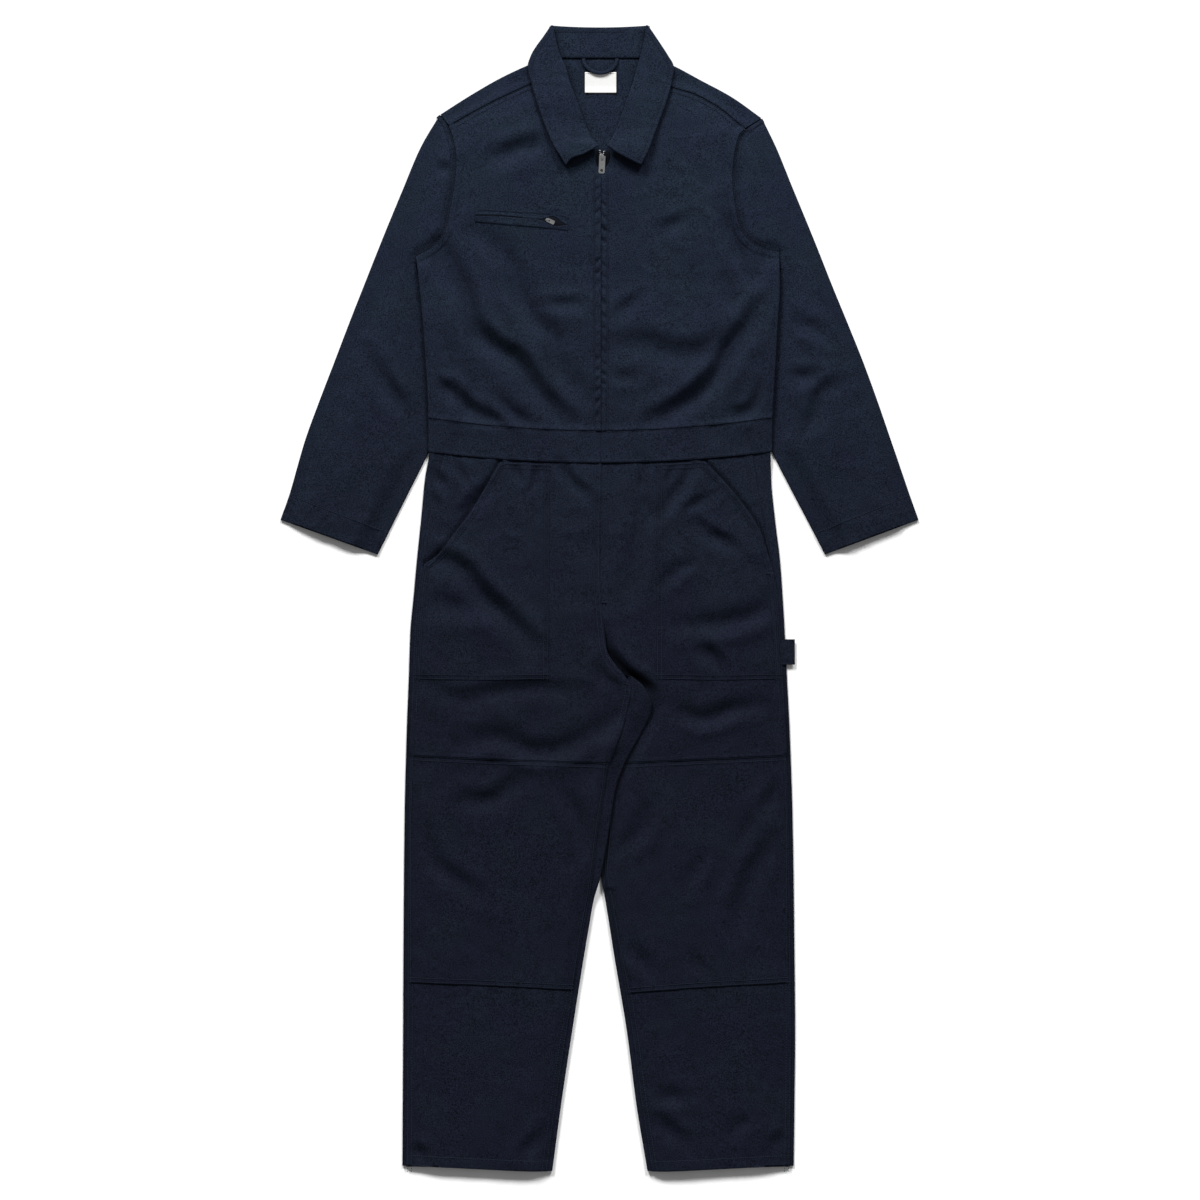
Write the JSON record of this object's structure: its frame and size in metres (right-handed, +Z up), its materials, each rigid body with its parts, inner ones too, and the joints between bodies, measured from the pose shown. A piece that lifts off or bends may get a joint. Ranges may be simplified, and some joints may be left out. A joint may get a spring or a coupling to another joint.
{
  "type": "boiler suit",
  "caption": "A navy cotton boiler suit laid out flat on its back, with a folded collar, a front zip, chest and hip pockets and knee patches",
  "frame": {"origin": "on the surface, under the middle of the whole garment", "axes": "+X to the right as it is looked at, +Y towards the collar, +Z up from the surface"},
  "size_m": [0.88, 1.58, 0.0121],
  "materials": {
    "navy_cloth": "matte cotton drill",
    "zip_tape": "matte woven tape",
    "white_label": "smooth satin label, left bare",
    "zip_metal": "polished nickel"
  },
  "bodies": {
    "suit": {"back_bodice": "navy_cloth", "front_bodice_left": "navy_cloth", "front_bodice_right": "navy_cloth", "sleeve_left": "navy_cloth", "sleeve_right": "navy_cloth", "collar": "navy_cloth", "neck_label": "white_label", "hanger_loop": "navy_cloth", "front_zip": "zip_tape", "front_zip_slider": "zip_metal", "chest_welt_upper": "navy_cloth", "chest_welt_lower": "navy_cloth", "chest_zip": "zip_tape", "chest_zip_slider": "zip_metal", "waistband_front_left": "navy_cloth", "waistband_front_right": "navy_cloth", "waistband_back": "navy_cloth", "trouser_front_left": "navy_cloth", "trouser_front_right": "navy_cloth", "trouser_back_left": "navy_cloth", "trouser_back_right": "navy_cloth", "hip_pocket_left": "navy_cloth", "hip_pocket_right": "navy_cloth", "knee_patch_left": "navy_cloth", "knee_patch_right": "navy_cloth", "side_loop": "navy_cloth"},
    "front_pull": {"front_zip_pull": "zip_metal"},
    "chest_pull": {"chest_zip_pull": "zip_metal"}
  },
  "joints": [
    {"name": "front_pull_hinge", "type": "hinge", "parent": "suit", "child": "front_pull", "pos_m": [0.004, 0.608, 0.007], "axis": [-1, 0, 0], "range_deg": [0, 120]},
    {"name": "chest_pull_hinge", "type": "hinge", "parent": "suit", "child": "chest_pull", "pos_m": [-0.0715, 0.5208, 0.0089], "axis": [-0.4226, -0.9063, 0], "range_deg": [0, 100]}
  ]
}
